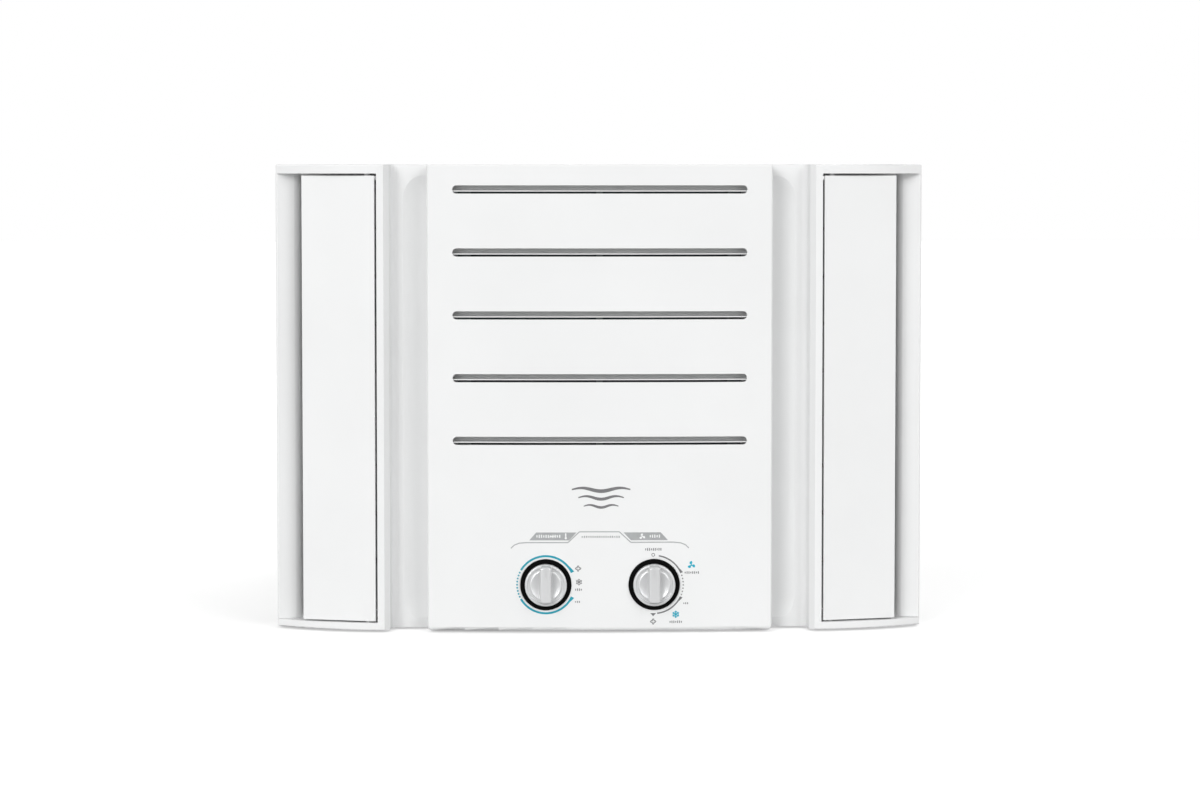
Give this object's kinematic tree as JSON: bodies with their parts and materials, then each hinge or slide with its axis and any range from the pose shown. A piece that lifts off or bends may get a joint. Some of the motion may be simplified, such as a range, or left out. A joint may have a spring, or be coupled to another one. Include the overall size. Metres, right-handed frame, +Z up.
{
  "type": "window air conditioner",
  "caption": "Window air conditioner with a bowed slotted centre panel, rotary controls, and a swinging door over tilting vanes at each side outlet.",
  "frame": {"origin": "middle of the underside, where the rails' feet stand on the sill, halfway from front to back", "axes": "+X right seen from the room, +Y into the wall, +Z up"},
  "size_m": [0.6002, 0.6, 0.4325],
  "materials": {
    "front_white": "satin moulded, fine grain",
    "vane_grey": "satin moulded",
    "bezel_black": "gloss",
    "knob_silver": "silver paint, satin",
    "filter_grey": "satin moulded",
    "filter_net": "woven net",
    "control_plastic": "matt phenolic",
    "zinc_sheet": "galvanised spangle",
    "cabinet_paint": "powder coat, light texture",
    "can_aluminium": "drawn can",
    "fin_aluminium": "bare fins",
    "housing_plastic": "matt moulded",
    "fan_plastic": "matt moulded",
    "shaft_steel": "turned",
    "black_enamel": "black enamel",
    "black_rubber": "matt",
    "copper_tube": "drawn copper"
  },
  "bodies": {
    "chassis": {"front_frame": "front_white", "center_panel": "front_white", "intake_louvres": "front_white", "left_outlet_frame": "front_white", "right_outlet_frame": "front_white", "knob_bezels": "bezel_black", "thermostat": "control_plastic", "mode_switch": "control_plastic", "control_box": "zinc_sheet", "run_capacitor": "can_aluminium", "cabinet": "cabinet_paint", "rear_grille": "cabinet_paint", "base_pan": "zinc_sheet", "mounting_rails": "zinc_sheet", "drain_spout": "housing_plastic", "cord_gland": "black_rubber", "screws": "shaft_steel", "bulkhead": "zinc_sheet", "blower_scroll": "housing_plastic", "fan_motor": "black_enamel", "motor_bracket": "zinc_sheet", "fan_shroud": "zinc_sheet", "evaporator": "fin_aluminium", "condenser": "fin_aluminium", "compressor": "black_enamel", "compressor_grommets": "black_rubber", "compressor_nuts": "shaft_steel", "suction_line": "copper_tube", "discharge_line": "copper_tube", "filter_drier": "copper_tube", "capillary_tube": "copper_tube"},
    "filter": {"filter_frame": "filter_grey", "filter_mesh": "filter_net"},
    "temperature_control": {"temperature_knob": "knob_silver", "thermostat_shaft": "zinc_sheet"},
    "mode_control": {"mode_knob": "knob_silver", "mode_switch_shaft": "zinc_sheet"},
    "fan_rotor": {"motor_shaft": "shaft_steel", "blower_wheel": "fan_plastic", "propeller_fan": "fan_plastic"},
    "left_door": {"left_door": "front_white"},
    "left_vane_1": {"left_vane_1": "vane_grey"},
    "left_vane_2": {"left_vane_2": "vane_grey"},
    "left_vane_3": {"left_vane_3": "vane_grey"},
    "left_vane_4": {"left_vane_4": "vane_grey"},
    "left_vane_5": {"left_vane_5": "vane_grey"},
    "left_vane_6": {"left_vane_6": "vane_grey"},
    "left_vane_7": {"left_vane_7": "vane_grey"},
    "left_vane_8": {"left_vane_8": "vane_grey"},
    "left_vane_link": {"left_vane_link": "vane_grey"},
    "right_door": {"right_door": "front_white"},
    "right_vane_1": {"right_vane_1": "vane_grey"},
    "right_vane_2": {"right_vane_2": "vane_grey"},
    "right_vane_3": {"right_vane_3": "vane_grey"},
    "right_vane_4": {"right_vane_4": "vane_grey"},
    "right_vane_5": {"right_vane_5": "vane_grey"},
    "right_vane_6": {"right_vane_6": "vane_grey"},
    "right_vane_7": {"right_vane_7": "vane_grey"},
    "right_vane_8": {"right_vane_8": "vane_grey"},
    "right_vane_link": {"right_vane_link": "vane_grey"}
  },
  "joints": [
    {"name": "filter_slide", "type": "slide", "parent": "chassis", "child": "filter", "axis": [0, 0, 1], "range_m": [0, 0.29]},
    {"name": "temperature_turn", "type": "hinge", "parent": "chassis", "child": "temperature_control", "pos_m": [-0.05, -0.285, 0.0453], "axis": [0, -1, 0], "range_deg": [-61, 246]},
    {"name": "mode_turn", "type": "hinge", "parent": "chassis", "child": "mode_control", "pos_m": [0.05, -0.285, 0.0453], "axis": [0, -1, 0], "range_deg": [-180, 0]},
    {"name": "fan_spin", "type": "hinge", "parent": "chassis", "child": "fan_rotor", "pos_m": [0, 0.05, 0.24], "axis": [0, 1, 0], "continuous": true},
    {"name": "left_door_swing", "type": "hinge", "parent": "chassis", "child": "left_door", "pos_m": [-0.2142, -0.26684, 0.215], "axis": [0, 0, 1], "range_deg": [-10, 35]},
    {"name": "left_vane_tilt", "type": "hinge", "parent": "chassis", "child": "left_vane_1", "pos_m": [-0.242, -0.222, 0.0608], "axis": [1, 0, 0], "range_deg": [-30, 30]},
    {"name": "left_vane_2_tilt", "type": "hinge", "parent": "chassis", "child": "left_vane_2", "pos_m": [-0.242, -0.222, 0.1053], "axis": [1, 0, 0], "range_deg": [-30, 30]},
    {"name": "left_vane_3_tilt", "type": "hinge", "parent": "chassis", "child": "left_vane_3", "pos_m": [-0.242, -0.222, 0.1498], "axis": [1, 0, 0], "range_deg": [-30, 30]},
    {"name": "left_vane_4_tilt", "type": "hinge", "parent": "chassis", "child": "left_vane_4", "pos_m": [-0.242, -0.222, 0.1943], "axis": [1, 0, 0], "range_deg": [-30, 30]},
    {"name": "left_vane_5_tilt", "type": "hinge", "parent": "chassis", "child": "left_vane_5", "pos_m": [-0.242, -0.222, 0.2388], "axis": [1, 0, 0], "range_deg": [-30, 30]},
    {"name": "left_vane_6_tilt", "type": "hinge", "parent": "chassis", "child": "left_vane_6", "pos_m": [-0.242, -0.222, 0.2833], "axis": [1, 0, 0], "range_deg": [-30, 30]},
    {"name": "left_vane_7_tilt", "type": "hinge", "parent": "chassis", "child": "left_vane_7", "pos_m": [-0.242, -0.222, 0.3278], "axis": [1, 0, 0], "range_deg": [-30, 30]},
    {"name": "left_vane_8_tilt", "type": "hinge", "parent": "chassis", "child": "left_vane_8", "pos_m": [-0.242, -0.222, 0.3723], "axis": [1, 0, 0], "range_deg": [-30, 30]},
    {"name": "left_link_pivot", "type": "hinge", "parent": "left_vane_1", "child": "left_vane_link", "pos_m": [-0.2225, -0.21, 0.0608], "axis": [1, 0, 0], "range_deg": [-30, 30]},
    {"name": "right_door_swing", "type": "hinge", "parent": "chassis", "child": "right_door", "pos_m": [0.2142, -0.26684, 0.215], "axis": [0, 0, -1], "range_deg": [-10, 35]},
    {"name": "right_vane_tilt", "type": "hinge", "parent": "chassis", "child": "right_vane_1", "pos_m": [0.242, -0.222, 0.0608], "axis": [1, 0, 0], "range_deg": [-30, 30]},
    {"name": "right_vane_2_tilt", "type": "hinge", "parent": "chassis", "child": "right_vane_2", "pos_m": [0.242, -0.222, 0.1053], "axis": [1, 0, 0], "range_deg": [-30, 30]},
    {"name": "right_vane_3_tilt", "type": "hinge", "parent": "chassis", "child": "right_vane_3", "pos_m": [0.242, -0.222, 0.1498], "axis": [1, 0, 0], "range_deg": [-30, 30]},
    {"name": "right_vane_4_tilt", "type": "hinge", "parent": "chassis", "child": "right_vane_4", "pos_m": [0.242, -0.222, 0.1943], "axis": [1, 0, 0], "range_deg": [-30, 30]},
    {"name": "right_vane_5_tilt", "type": "hinge", "parent": "chassis", "child": "right_vane_5", "pos_m": [0.242, -0.222, 0.2388], "axis": [1, 0, 0], "range_deg": [-30, 30]},
    {"name": "right_vane_6_tilt", "type": "hinge", "parent": "chassis", "child": "right_vane_6", "pos_m": [0.242, -0.222, 0.2833], "axis": [1, 0, 0], "range_deg": [-30, 30]},
    {"name": "right_vane_7_tilt", "type": "hinge", "parent": "chassis", "child": "right_vane_7", "pos_m": [0.242, -0.222, 0.3278], "axis": [1, 0, 0], "range_deg": [-30, 30]},
    {"name": "right_vane_8_tilt", "type": "hinge", "parent": "chassis", "child": "right_vane_8", "pos_m": [0.242, -0.222, 0.3723], "axis": [1, 0, 0], "range_deg": [-30, 30]},
    {"name": "right_link_pivot", "type": "hinge", "parent": "right_vane_1", "child": "right_vane_link", "pos_m": [0.2225, -0.21, 0.0608], "axis": [1, 0, 0], "range_deg": [-30, 30]}
  ],
  "couplings": [
    {"joint": "left_vane_2_tilt", "follows": "left_vane_tilt", "ratio": 1},
    {"joint": "left_vane_3_tilt", "follows": "left_vane_tilt", "ratio": 1},
    {"joint": "left_vane_4_tilt", "follows": "left_vane_tilt", "ratio": 1},
    {"joint": "left_vane_5_tilt", "follows": "left_vane_tilt", "ratio": 1},
    {"joint": "left_vane_6_tilt", "follows": "left_vane_tilt", "ratio": 1},
    {"joint": "left_vane_7_tilt", "follows": "left_vane_tilt", "ratio": 1},
    {"joint": "left_vane_8_tilt", "follows": "left_vane_tilt", "ratio": 1},
    {"joint": "left_link_pivot", "follows": "left_vane_tilt", "ratio": -1},
    {"joint": "right_vane_2_tilt", "follows": "right_vane_tilt", "ratio": 1},
    {"joint": "right_vane_3_tilt", "follows": "right_vane_tilt", "ratio": 1},
    {"joint": "right_vane_4_tilt", "follows": "right_vane_tilt", "ratio": 1},
    {"joint": "right_vane_5_tilt", "follows": "right_vane_tilt", "ratio": 1},
    {"joint": "right_vane_6_tilt", "follows": "right_vane_tilt", "ratio": 1},
    {"joint": "right_vane_7_tilt", "follows": "right_vane_tilt", "ratio": 1},
    {"joint": "right_vane_8_tilt", "follows": "right_vane_tilt", "ratio": 1},
    {"joint": "right_link_pivot", "follows": "right_vane_tilt", "ratio": -1}
  ]
}
